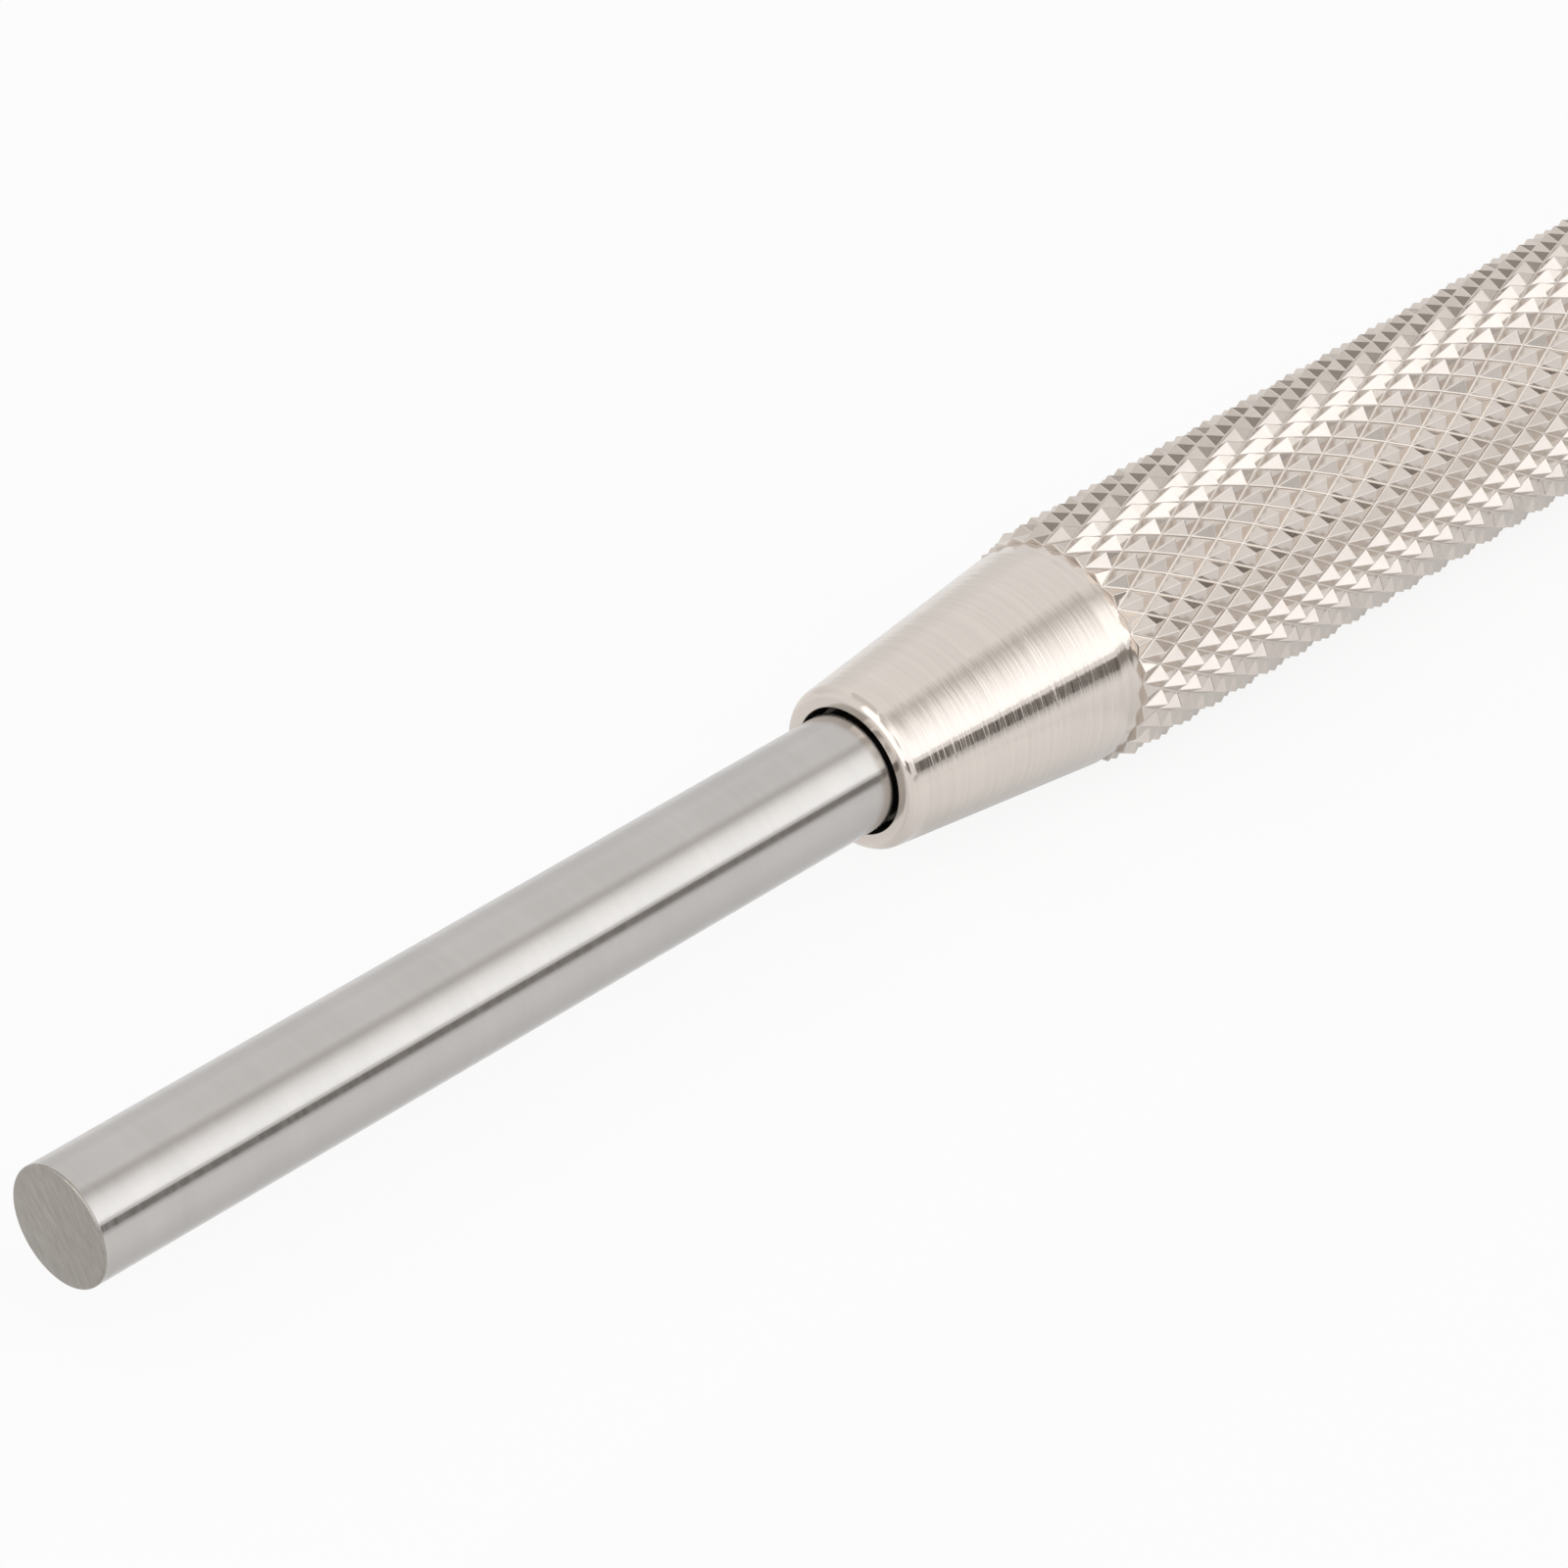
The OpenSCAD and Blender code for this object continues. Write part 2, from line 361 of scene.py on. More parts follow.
def head_outline():
    """From the middle of the hole's floor, round its mouth, to the middle of the struck face."""
    bore_floor = PIN_REAR + SEAT_GAP
    bevel_start = HEAD_REAR - FACE_BEVEL_LEN
    edge_fall = HEAD_EDGE * FACE_BEVEL / FACE_BEVEL_LEN
    return [
        (bore_floor, CENTRE_R),
        (bore_floor, PIN_R),
        (HEAD_FRONT, PIN_R),
        (HEAD_FRONT, HEAD_R - HEAD_FRONT_BEVEL),
        (HEAD_FRONT + HEAD_FRONT_BEVEL, HEAD_R),
        (bevel_start - HEAD_EDGE, HEAD_R),
        (bevel_start + HEAD_EDGE, HEAD_R - edge_fall),
        (HEAD_REAR - HEAD_EDGE, HEAD_R - FACE_BEVEL + edge_fall),
        (HEAD_REAR, HEAD_R - FACE_BEVEL - HEAD_EDGE),
        (HEAD_REAR, CENTRE_R),
    ]


head = turned_piece("hammer_head", head_outline(), DISC)

# %% [markdown]
# ## The guide sleeve: sizes
#
# The sleeve starts as a turned bar: a rounded lip, a taper, a narrow plain band, the length
# that is knurled, and a band at the rear. It has a wide mouth, a close guide, and is hollow
# behind it. Each place could be typed in, but as steps from the sleeve's ends and from the
# pin's radius they keep their fit.

# %% Sleeve sizes
NOSE_LEN = 13 * MM
NOSE_FRONT_R = 4.075 * MM
NOSE_REAR_R = 5.5 * MM
LIP_ROUND = 0.55 * MM
FRONT_BAND = 1.2 * MM
REAR_BAND = 6 * MM
REAR_BEVEL = 0.6 * MM
MOUTH_R = PIN_R + 0.2 * MM
MOUTH_EDGE = 0.1 * MM
MOUTH_DEPTH = 2.4 * MM
GUIDE_R = PIN_R + 0.05 * MM
GUIDE_LEN = 13.6 * MM
GUIDE_FRONT = SLEEVE_FRONT + MOUTH_DEPTH
GUIDE_REAR = GUIDE_FRONT + GUIDE_LEN
HOLLOW_R = PIN_R + 1.35 * MM
KNURL_FRONT = SLEEVE_FRONT + NOSE_LEN + FRONT_BAND
KNURL_REAR = SLEEVE_REAR - REAR_BAND
KNURL_DEPTH = 0.55 * MM
ROOT_R = KNURL_TIP_R - KNURL_DEPTH
CORE_R = ROOT_R - 0.1 * MM
print("ends of the knurl in mm:", in_mm(KNURL_FRONT, KNURL_REAR))

# %% [markdown]
# ## The guide sleeve: the lip
#
# The front edge is well rounded outside and only just broken at the mouth. A Bevel modifier
# would round both alike. Two arcs in the outline give each its own, and the outer one ends
# at the slope of the taper and touches it, so that no kink shows in the reflections.

# %% Sleeve lip
def lip_outline():
    """The rounded front edge, from the mouth to where it meets the taper."""
    slope = math.atan((NOSE_REAR_R - NOSE_FRONT_R) / NOSE_LEN)
    mid_r = NOSE_FRONT_R + LIP_ROUND * math.tan(slope) - LIP_ROUND / math.cos(slope)
    mouth = (SLEEVE_FRONT + MOUTH_EDGE, MOUTH_R + MOUTH_EDGE, MOUTH_EDGE)
    inner = arc(*mouth, -math.pi, -math.pi / 2, EDGE_STEPS)
    outer = arc(SLEEVE_FRONT + LIP_ROUND, mid_r, LIP_ROUND, -math.pi / 2, -slope, 3 * EDGE_STEPS)
    print("the lip meets the taper at a slope of", round(math.degrees(slope), 1), "degrees")
    return inner + outer


# %% [markdown]
# ## The guide sleeve: the body
#
# A bar with a bore cut out of it by a Boolean would have long thin faces, so the outline
# itself goes back through the bore and closes on its start. Under the knurl it dips below
# the grooves, because the knurl is modelled as its own skin.

# %% Sleeve body
def sleeve_outline():
    """From the mouth's edge back along the outside, then forward through the bore."""
    taper_end = (SLEEVE_FRONT + NOSE_LEN, NOSE_REAR_R)
    outline = lip_outline()
    outline += held(outline.pop(), taper_end)
    outline += held(taper_end, (KNURL_FRONT, NOSE_REAR_R))[1:]
    outline += [(KNURL_FRONT, CORE_R), (KNURL_REAR, CORE_R), (KNURL_REAR, SLEEVE_R)]
    outline += [(SLEEVE_REAR - REAR_BEVEL, SLEEVE_R), (SLEEVE_REAR, SLEEVE_R - REAR_BEVEL)]
    outline += [(SLEEVE_REAR, HOLLOW_R), (GUIDE_REAR, HOLLOW_R), (GUIDE_REAR, GUIDE_R)]
    outline += [(GUIDE_FRONT, GUIDE_R), (GUIDE_FRONT, MOUTH_R)]
    return outline + [outline[0]]


sleeve = turned_piece("knurled_sleeve", sleeve_outline(), BARE_RING)

# %% [markdown]
# ## The knurl: a ring of points, row by row
#
# Two hardened wheels press crossing grooves into the bar, and the metal between them rises
# into four-sided points. A bump map can't give such facets their outline, and thousands of
# loose pyramids are heavy. So one ring of points is extruded row by row and closed into a
# tube. From row to row tips and crossings change places, which is half a step, and a small
# turn makes up the rest. With no window open, rotate takes its angle the other way round,
# and it needs center_override to turn about the axis.

# %% Knurl skin
KNURL_STARTS = 27
KNURL_ROWS = 50
ROW_TURN_SHARE = 0.6
STEP_ANGLE = 2 * math.pi / KNURL_STARTS
ROW_STEP = (KNURL_REAR - KNURL_FRONT) / KNURL_ROWS
ROW_TURN = (ROW_TURN_SHARE - 1 / 2) * STEP_ANGLE
SKIN_R = CORE_R - 0.2 * MM


def turn_selected(angle):
    """Turns what is selected about X by this angle."""
    bpy.ops.transform.rotate(value=-angle, orient_axis="X", center_override=(0, 0, 0))


def make_knurl():
    piece = add_ring("knurl_skin", KNURL_FRONT, SKIN_R, 2 * KNURL_STARTS, BARE_RING)
    edit_all()
    extrude_to(0, KNURL_TIP_R / SKIN_R)
    for _ in range(KNURL_ROWS):
        extrude_to(ROW_STEP, 1)
        turn_selected(ROW_TURN)
    extrude_to(0, SKIN_R / KNURL_TIP_R)
    extrude_to(KNURL_FRONT - KNURL_REAR, 1)
    turn_selected(-ROW_TURN * KNURL_ROWS)
    leave_edit()
    close_and_face_out(piece)
    return piece


knurl = make_knurl()
report(knurl)

# %% [markdown]
# ## The knurl: pressing the grooves
#
# Now every second point is pushed in, as on a chessboard. The points that stay out are the
# tips, and the ones pushed in are the crossings of the grooves. An edge drawn from crossing to
# crossing is the bottom of a groove, and it splits each face into the facets of two points.

# %% Grooves
def off_axis(point):
    """How far a point is from the axis."""
    return math.hypot(point.y, point.z)


def is_crossing(point):
    """Is this point on a row of the knurl, where two grooves cross?"""
    if off_axis(point) < (SKIN_R + KNURL_TIP_R) / 2:
        return False
    row = round((point.x - KNURL_FRONT) / ROW_STEP)
    steps = math.atan2(point.z, point.y) / STEP_ANGLE - row * ROW_TURN_SHARE
    return abs(steps - round(steps)) < 1 / 4


def select_points(piece, is_wanted):
    """Selects just the points whose place passes the test, and no edge or face."""
    select_only(piece)
    for part in (*piece.data.polygons, *piece.data.edges):
        part.select = False
    for vertex in piece.data.vertices:
        vertex.select = is_wanted(vertex.co)
    print("points selected:", sum(v.select for v in piece.data.vertices))


def press_grooves(piece):
    """Pushes the crossings in and joins them by edges, which are the bottoms of the grooves."""
    select_points(piece, is_crossing)
    bpy.ops.object.mode_set(mode="EDIT")
    bpy.context.tool_settings.mesh_select_mode = (True, False, False)
    scale_about_axis(ROOT_R / KNURL_TIP_R)
    bpy.ops.mesh.vert_connect()
    leave_edit()


press_grooves(knurl)
report(knurl)

# %% [markdown]
# ## The knurl: its two ends
#
# The bar is bevelled where the knurl ends, so its first and last points are cut short. Left
# high they would stand up like a crown. Cutting them off with a cone would do, but it is
# quicker to select the tips at both ends and scale them towards the axis.

# %% End tips
END_TIP_R = KNURL_TIP_R - KNURL_DEPTH / 2
END_REACH = 0.1 * MM


def is_end_tip(point):
    at_end = not KNURL_FRONT + END_REACH < point.x < KNURL_REAR - END_REACH
    return at_end and off_axis(point) > END_TIP_R


def lower_end_tips(piece):
    select_points(piece, is_end_tip)
    bpy.ops.object.mode_set(mode="EDIT")
    scale_about_axis(END_TIP_R / KNURL_TIP_R)
    leave_edit()


lower_end_tips(knurl)

# %% [markdown]
# ## The knurl: soft edges
#
# Pressed and plated metal has no perfectly sharp edge. A Bevel modifier rounds the bottoms
# of the grooves, and the ridges half as much. A subdivision surface would melt the whole
# point into a bump. Hardened normals keep each facet's shading flat up to its bevel, or
# every facet would shine like a little ball.

# %% Bevel
GROOVE_ROUND = 0.08 * MM
RIDGE_ROUND_SHARE = 0.5
BEVEL_SEGMENTS = 2
EVERY_ANGLE = 180


def round_weight(piece, edge):
    """1 at the bottom of a groove, a share of it on the ridges up to a tip, and 0 elsewhere."""
    radii = [off_axis(piece.data.vertices[v].co) for v in edge.vertices]
    if min(radii) < (SKIN_R + ROOT_R) / 2:
        return 0
    return 1 if max(radii) < (ROOT_R + END_TIP_R) / 2 else RIDGE_ROUND_SHARE


def soften(piece):
    """Rounds grooves and ridges, and applies the modifier."""
    smooth_below(piece, EVERY_ANGLE)
    weights = piece.data.attributes.new("bevel_weight_edge", "FLOAT", "EDGE")
    for edge, weight in zip(piece.data.edges, weights.data):
        weight.value = round_weight(piece, edge)
    bevel = piece.modifiers.new("soften", "BEVEL")
    bevel.width = GROOVE_ROUND
    bevel.segments = BEVEL_SEGMENTS
    bevel.limit_method = "WEIGHT"
    bevel.harden_normals = True
    bpy.ops.object.modifier_apply(modifier=bevel.name)


soften(knurl)
report(knurl)

# %% [markdown]
# ## One sleeve
#
# On the real tool the knurl and the bar are one piece of metal, and they move as one. The
# knurl's skin reaches below the bar's surface all round, so the two can simply be joined into
# one object. A Boolean union would give the same look for many more faces.

# %% Join the sleeve
def join_into(piece, other):
    """Adds the other piece's mesh to this piece's."""
    select_only(piece)
    other.select_set(True)
    bpy.ops.object.join()


join_into(sleeve, knurl)
report(sleeve)

# %% [markdown]
# ## Materials: noise of a real size
#
# Bare metal has almost no colour of its own: it shows the room. So each metal here is fully
# metallic, with a pale base colour, and its character comes from how evenly it was cut.
# That unevenness is noise on Object coordinates, which stays on the piece when it moves. Its
# grain is given as a real size along X, Y and Z, so a grain that is short along X and long
# the other ways draws the fine rings that grinding and turning leave round a bar.

# %% Noise
GRAIN_ROUGHNESS = 0.6


def new_material(name):
    material = bpy.data.materials.new(name)
    material.use_nodes = True
    print("material", name)
    return material, material.node_tree.nodes, material.node_tree.links


def noise_on(nodes, links, size, detail, turn=0):
    """Noise whose grain has this size along X, Y and Z, turned about X by turn."""
    coordinates = nodes.new("ShaderNodeTexCoord")
    mapping = nodes.new("ShaderNodeMapping")
    mapping.vector_type = "TEXTURE"
    mapping.inputs["Scale"].default_value = size
    mapping.inputs["Rotation"].default_value = (turn, 0, 0)
    noise = nodes.new("ShaderNodeTexNoise")
    noise.inputs["Scale"].default_value = 1
    noise.inputs["Detail"].default_value = detail
    noise.inputs["Roughness"].default_value = GRAIN_ROUGHNESS
    links.new(coordinates.outputs["Object"], mapping.inputs["Vector"])
    links.new(mapping.outputs["Vector"], noise.inputs["Vector"])
    return noise


def rings(along, around):
    """A grain of this size along X and another round it."""
    return along, around, around


def specks(size):
    """A grain of one size in all directions."""
    return size, size, size


# %% [markdown]
# ## Tone and bump
#
# The noise is used in two ways. A colour ramp turns it into a slightly mottled tone. A Bump
# node turns it into tiny hills, whose height is given in metres like everything else, so
# that their slopes are those of a real surface. Hills could be modelled as mesh too, but
# they are at most a few hundredths of a millimetre high and only their shading shows.

# %% Tone and bump
NOISE_LOW, NOISE_HIGH = 0.3, 0.7


def ramp_on(nodes, links, source, low, high):
    """A colour ramp from low to high over the range that noise mostly takes."""
    ramp = nodes.new("ShaderNodeValToRGB")
    ramp.color_ramp.elements[0].color = (*low, 1)
    ramp.color_ramp.elements[1].color = (*high, 1)
    ramp.color_ramp.elements[0].position = NOISE_LOW
    ramp.color_ramp.elements[1].position = NOISE_HIGH
    links.new(source.outputs["Fac"], ramp.inputs["Fac"])
    return ramp


def bump_on(nodes, links, source, height, previous=None):
    """A bump whose full height is given in metres, added to a previous one."""
    bump = nodes.new("ShaderNodeBump")
    bump.inputs["Strength"].default_value = 1
    bump.inputs["Distance"].default_value = height
    links.new(source.outputs["Fac"], bump.inputs["Height"])
    if previous:
        links.new(previous.outputs["Normal"], bump.inputs["Normal"])
    return bump


# %% [markdown]
# ## One recipe for every metal
#
# The pin, the sleeve and the head are different metals, but they are made in the same way: a
# mottled tone, one or more sets of lines, and a roughness. Each could have its own node
# tree drawn by hand. One recipe with numbers lets us compare them and change them quickly.

# %% The metal recipe
TONE_DETAIL = 3


def metal(name, low, high, tone_size, lines, roughness, turn=0):
    """A metal with mottled tone and several sets of lines, each (size, detail, height)."""
    material, nodes, links = new_material(name)
    shader = nodes["Principled BSDF"]
    shader.inputs["Metallic"].default_value = 1
    shader.inputs["Roughness"].default_value = roughness
    tone = noise_on(nodes, links, tone_size, TONE_DETAIL, turn)
    ramp = ramp_on(nodes, links, tone, low, high)
    links.new(ramp.outputs["Color"], shader.inputs["Base Color"])
    bump = None
    for size, detail, height in lines:
        noise = noise_on(nodes, links, size, detail, turn)
        bump = bump_on(nodes, links, noise, height, bump)
    links.new(bump.outputs["Normal"], shader.inputs["Normal"])
    return material


# %% [markdown]
# ## Uneven gloss
#
# A cutting tool leaves some rings brighter than others. This could be painted into the base
# colour, but then it would show just as much where nothing bright is reflected. A roughness
# that wanders shows most at the edges of a highlight, as on the real nose.

# %% Uneven gloss
GLOSS_DETAIL = 2


def uneven_gloss(material, size, spread):
    """Lets the roughness wander by spread either way, in lines like the ones that cut it."""
    nodes, links = material.node_tree.nodes, material.node_tree.links
    roughness = nodes["Principled BSDF"].inputs["Roughness"]
    noise = noise_on(nodes, links, size, GLOSS_DETAIL)
    wander = nodes.new("ShaderNodeMapRange")
    wander.inputs["From Min"].default_value = NOISE_LOW
    wander.inputs["From Max"].default_value = NOISE_HIGH
    wander.inputs["To Min"].default_value = roughness.default_value - spread
    wander.inputs["To Max"].default_value = roughness.default_value + spread
    links.new(noise.outputs["Fac"], wander.inputs["Value"])
    links.new(wander.outputs["Result"], roughness)
    print(material.name, "wanders in roughness by", spread, "either way")


# %% [markdown]
# ## Reflections stretched along the bar
#
# Lines that run round a bar scatter light along it and hardly round it. That is why the
# streaks on the pin have crisp sides, while the sleeve's mouth shows in the pin only as a
# faint smear. A plain glossy shader would mirror the mouth sharply. Anisotropy does it
# right: the tangent runs round X, and a quarter turn lays the long side of the blur along X.

# %% Stretched reflections
QUARTER_TURN_SHARE = 1 / 4


def stretch_reflections(material, amount):
    """Blurs reflections along X more than round it. amount is between 0 and 1."""
    nodes, links = material.node_tree.nodes, material.node_tree.links
    tangent = nodes.new("ShaderNodeTangent")
    tangent.direction_type = "RADIAL"
    tangent.axis = "X"
    shader = nodes["Principled BSDF"]
    links.new(tangent.outputs["Tangent"], shader.inputs["Tangent"])
    shader.inputs["Anisotropic"].default_value = amount
    shader.inputs["Anisotropic Rotation"].default_value = QUARTER_TURN_SHARE
    print(material.name, "is stretched by", amount)


# %% [markdown]
# ## Nickel over turning lines
#
# The nose was turned and then plated. The plating is pale and a little warm, and it follows
# every turning line: rings 0.3 mm apart that fray the edges of the highlights. The tone
# varies in rings too, but very weakly, or they would look painted on.

# %% Turned nickel
turned_nickel = metal(
    "turned_nickel", low=(0.655, 0.598, 0.546), high=(0.705, 0.643, 0.589),
    tone_size=rings(0.22 * MM, 9 * MM),
    lines=[
        (rings(0.3 * MM, 30 * MM), 2, 0.038 * MM),
        (rings(0.8 * MM, 60 * MM), 1, 0.006 * MM),
    ],
    roughness=0.13,
)
uneven_gloss(turned_nickel, rings(0.25 * MM, 20 * MM), spread=0.04)
stretch_reflections(turned_nickel, amount=0.9)

# %% [markdown]
# ## Nickel on the knurl
#
# The knurl's facets were pressed, not cut, so they have no lines. The plating left them
# satin with a faint grain that is the same in all directions. They have their own material
# because rings across the small facets would break up their clean light and dark sides.

# %% Knurled nickel
knurled_nickel = metal(
    "knurled_nickel", low=(0.66, 0.60, 0.55), high=(0.70, 0.64, 0.585),
    tone_size=specks(1 * MM),
    lines=[(specks(0.4 * MM), 2, 0.003 * MM)],
    roughness=0.17,
)

# %% [markdown]
# ## Ground steel
#
# The pin is bare steel, greyer than the nickel. Grinding leaves lines far finer than we can
# see, so its bump is tiny and nearly all of its look comes from the stretched reflections.

# %% Ground steel
ground_steel = metal(
    "ground_steel", low=(0.50, 0.48, 0.46), high=(0.53, 0.505, 0.485),
    tone_size=rings(2 * MM, 12 * MM),
    lines=[(rings(0.25 * MM, 10 * MM), 1, 0.0004 * MM)],
    roughness=0.15,
)
uneven_gloss(ground_steel, rings(0.4 * MM, 16 * MM), spread=0.03)
stretch_reflections(ground_steel, amount=1)

# %% [markdown]
# ## The working face
#
# The flat end was cut off and sanded straight across, so its lines run in one direction
# over the face, and it is duller than the pin's side. Its base colour is darker than the
# pin's steel as painted shade, for the shaded floor under the tool that the face mirrors.
# The grain is turned about X to lay the lines as they are in the picture. Its size along X
# doesn't matter on a face that is square to X, so it is one metre.

# %% Sanded end and painted shade
END_STREAK_TURN = math.radians(57)
# Painted shade: the end's base colours are darker than the pin's steel.
sanded_end_and_shade = metal(
    "sanded_end_and_shade", low=(0.322, 0.298, 0.271), high=(0.408, 0.379, 0.347),
    tone_size=(1, 1.2 * MM, 0.22 * MM),
    lines=[
        ((1, 2 * MM, 0.15 * MM), 2, 0.004 * MM),
        ((1, 1.2 * MM, 1.2 * MM), 2, 0.01 * MM),
    ],
    roughness=0.32,
    turn=END_STREAK_TURN,
)

# %% [markdown]
# ## Painted shade in the mouth
#
# The gap between the pin and the sleeve is nearly black in the picture. A clean bore would
# bounce light about and glint. So the groove in the pin and the wall of the mouth get a
# dark, dull metal of their own, which is painted shade for the deep, narrow gap.

# %% Painted shade in the mouth
# Painted shade: this dark, dull metal darkens the groove and the mouth's wall.
mouth_painted_shade = metal(
    "mouth_painted_shade", low=(0.08, 0.072, 0.064), high=(0.13, 0.117, 0.104),
    tone_size=rings(0.6 * MM, 2 * MM),
    lines=[(rings(0.3 * MM, 1 * MM), 2, 0.01 * MM)],
    roughness=0.4,
)

# %% [markdown]
# ## The head and the pieces inside
#
# The head is bare turned steel with deeper rings than the pin. The bush and the stop ring
# could be turned anew like the pin, but they are hidden inside or nearly so. They stay the
# plain CAD solids and get a finish of their own: bored bronze, and wire with faint lines.

# %% Head, bush and wire
turned_steel = metal(
    "turned_steel", low=(0.50, 0.48, 0.455), high=(0.56, 0.535, 0.51),
    tone_size=specks(5 * MM),
    lines=[(rings(0.25 * MM, 20 * MM), 2, 0.004 * MM)],
    roughness=0.2,
)
bush_bronze = metal(
    "bush_bronze", low=(0.52, 0.36, 0.17), high=(0.60, 0.43, 0.21),
    tone_size=specks(3 * MM),
    lines=[(rings(0.25 * MM, 20 * MM), 2, 0.003 * MM)],
    roughness=0.25,
)
spring_wire = metal(
    "spring_wire", low=(0.20, 0.20, 0.21), high=(0.26, 0.26, 0.27),
    tone_size=specks(2.5 * MM),
    lines=[(rings(3 * MM, 0.3 * MM), 1, 0.002 * MM)],
    roughness=0.3,
)

# %% [markdown]
# ## Rubber
#
# The friction ring is black moulded rubber. It isn't a metal, so the recipe doesn't fit: its
# base colour is nearly black, its roughness high, and one noise gives both the mottling and
# the slight orange peel of a moulding.

# %% Rubber
RUBBER_ROUGHNESS = 0.6
RUBBER_GRAIN = 1.1 * MM
PEEL_HEIGHT = 0.01 * MM
RUBBER_LOW = (0.012, 0.012, 0.012)
RUBBER_HIGH = (0.03, 0.03, 0.03)


def moulded_rubber():
    material, nodes, links = new_material("ring_rubber")
    shader = nodes["Principled BSDF"]
    shader.inputs["Roughness"].default_value = RUBBER_ROUGHNESS
    noise = noise_on(nodes, links, specks(RUBBER_GRAIN), TONE_DETAIL)
    tone = ramp_on(nodes, links, noise, RUBBER_LOW, RUBBER_HIGH)
    links.new(tone.outputs["Color"], shader.inputs["Base Color"])
    peel = bump_on(nodes, links, noise, PEEL_HEIGHT)
    links.new(peel.outputs["Normal"], shader.inputs["Normal"])
    return material


rubber = moulded_rubber()

# %% [markdown]
# ## Dressing the pieces
#
# A piece with one finish takes one material. The pin and the sleeve have three each, so
# every face gets the number of its material from its place: how far along the axis it lies
# and how far from it. That is quicker and surer than picking thousands of faces by hand.

# %% Dress
def dress(piece, *materials):
    piece.data.materials.clear()
    for material in materials:
        piece.data.materials.append(material)


def dress_by_place(piece, finish_at, *materials):
    """Gives each face the material whose number finish_at returns for the face's middle."""
    dress(piece, *materials)
    for polygon in piece.data.polygons:
        polygon.material_index = finish_at(polygon.center)
    counts = [sum(p.material_index == k for p in piece.data.polygons) for k in range(len(materials))]
    print(piece.name, "has faces of each finish:", counts)


def pin_finish(place):
    """1 on the sanded end and 2 in the groove, both darkened with painted shade, and 0 elsewhere."""
    if place.x < TIP_EDGE:
        return 1
    return 2 if GROUND_LEN < place.x < GROUND_LEN + RUNOUT_W else 0


def sleeve_finish(place):
    """1 on the knurl, 2 in the mouth, darkened with painted shade, and 0 elsewhere."""
    if KNURL_FRONT < place.x < KNURL_REAR and off_axis(place) > CORE_R:
        return 1
    return 2 if place.x < GUIDE_FRONT and off_axis(place) < MOUTH_R + MOUTH_EDGE / 2 else 0


dress_by_place(pin, pin_finish, ground_steel, sanded_end_and_shade, mouth_painted_shade)
dress_by_place(sleeve, sleeve_finish, turned_nickel, knurled_nickel, mouth_painted_shade)
dress(head, turned_steel)
dress(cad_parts["rear_guide_bush"], bush_bronze)
dress(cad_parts["stop_ring"], spring_wire)
dress(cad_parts["friction_ring"], rubber)

# %% [markdown]
# ## What moves with what
#
# On the tool the head is pressed onto the pin, and the sleeve slides along the pin. So the
# new pin and head ride on the body of the punch, and the new sleeve on its own. Each takes
# the place of its CAD piece, which is hidden.

# %% Ride and replace
for piece, body, node, slot in (
    (pin, "punch", "punch_pin", "ground_steel"),
    (head, "punch", "striking_head", "turned_steel"),
    (sleeve, "sleeve", "guide_sleeve", "nickel_plate"),
):
    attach(piece, body)
    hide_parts(node)
    print(piece.name, "rides on", body, "in place of", node)

# %% [markdown]
# ## A white that doesn't burn
#
# The tool lies on a white sheet that runs off to white all round. A white that comes from
# strong light would burn out the metal too. So the floor shows most of its white as its own
# colour, to the camera and to reflections, which the Light Path node tells from the rest.

# %% Seen share
def math_on(nodes, links, operation, first, second):
    """A Math node of a node's output and of another output or a number."""
    node = nodes.new("ShaderNodeMath")
    node.operation = operation
    links.new(first, node.inputs[0])
    if isinstance(second, bpy.types.NodeSocket):
        links.new(second, node.inputs[1])
    else:
        node.inputs[1].default_value = second
    return node.outputs["Value"]


def seen_share(nodes, links, share):
    """A factor that is share for camera, glossy and transmission rays, and 0 for the rest."""
    path = nodes.new("ShaderNodeLightPath")
    seen = path.outputs["Is Camera Ray"]
    for kind in ("Is Glossy Ray", "Is Transmission Ray"):
        seen = math_on(nodes, links, "MAXIMUM", seen, path.outputs[kind])
    return math_on(nodes, links, "MULTIPLY", seen, share)


# %% [markdown]
# ## The floor
#
# The rest of the floor's white, about an eighth, stays a plain matt surface. It is darker
# where less light arrives, and so it keeps the tool's soft shadow. A shadow catcher would do
# for the camera, but not for the metal. The floor is level with the tool's lowest point.

# %% Floor
FLOOR_TOP = cad_low.z
FLOOR_SIZE = 6
FLOOR_OWN_WHITE = 0.88
FLOOR_GREY = (0.93, 0.93, 0.93)
FLOOR_ROUGHNESS = 0.8


def add_floor():
    deselect_all()
    bpy.ops.mesh.primitive_plane_add(size=FLOOR_SIZE, location=(0, 0, FLOOR_TOP))
    floor = bpy.context.object
    floor.name = "pale_floor"
    apply_place(floor)
    material, nodes, links = new_material("pale_floor")
    matt = nodes["Principled BSDF"]
    matt.inputs["Base Color"].default_value = (*FLOOR_GREY, 1)
    matt.inputs["Roughness"].default_value = FLOOR_ROUGHNESS
    own = nodes.new("ShaderNodeEmission")
    mix = nodes.new("ShaderNodeMixShader")
    links.new(seen_share(nodes, links, FLOOR_OWN_WHITE), mix.inputs["Fac"])
    links.new(matt.outputs["BSDF"], mix.inputs[1])
    links.new(own.outputs["Emission"], mix.inputs[2])
    links.new(mix.outputs["Shader"], nodes["Material Output"].inputs["Surface"])
    dress(floor, material)
    print("floor at", in_mm(FLOOR_TOP), "mm")


add_floor()

# %% [markdown]
# ## The world
#
# A studio is white all round. Walls could be built, but a world is simpler. It is white
# where it is seen, and lower where it only lights, so that the shadow on the floor doesn't
# fill up. The Standard view shows a strength of one as exactly white.

# %% World
WORLD_FILL = 0.7
WHITE = (1, 1, 1)


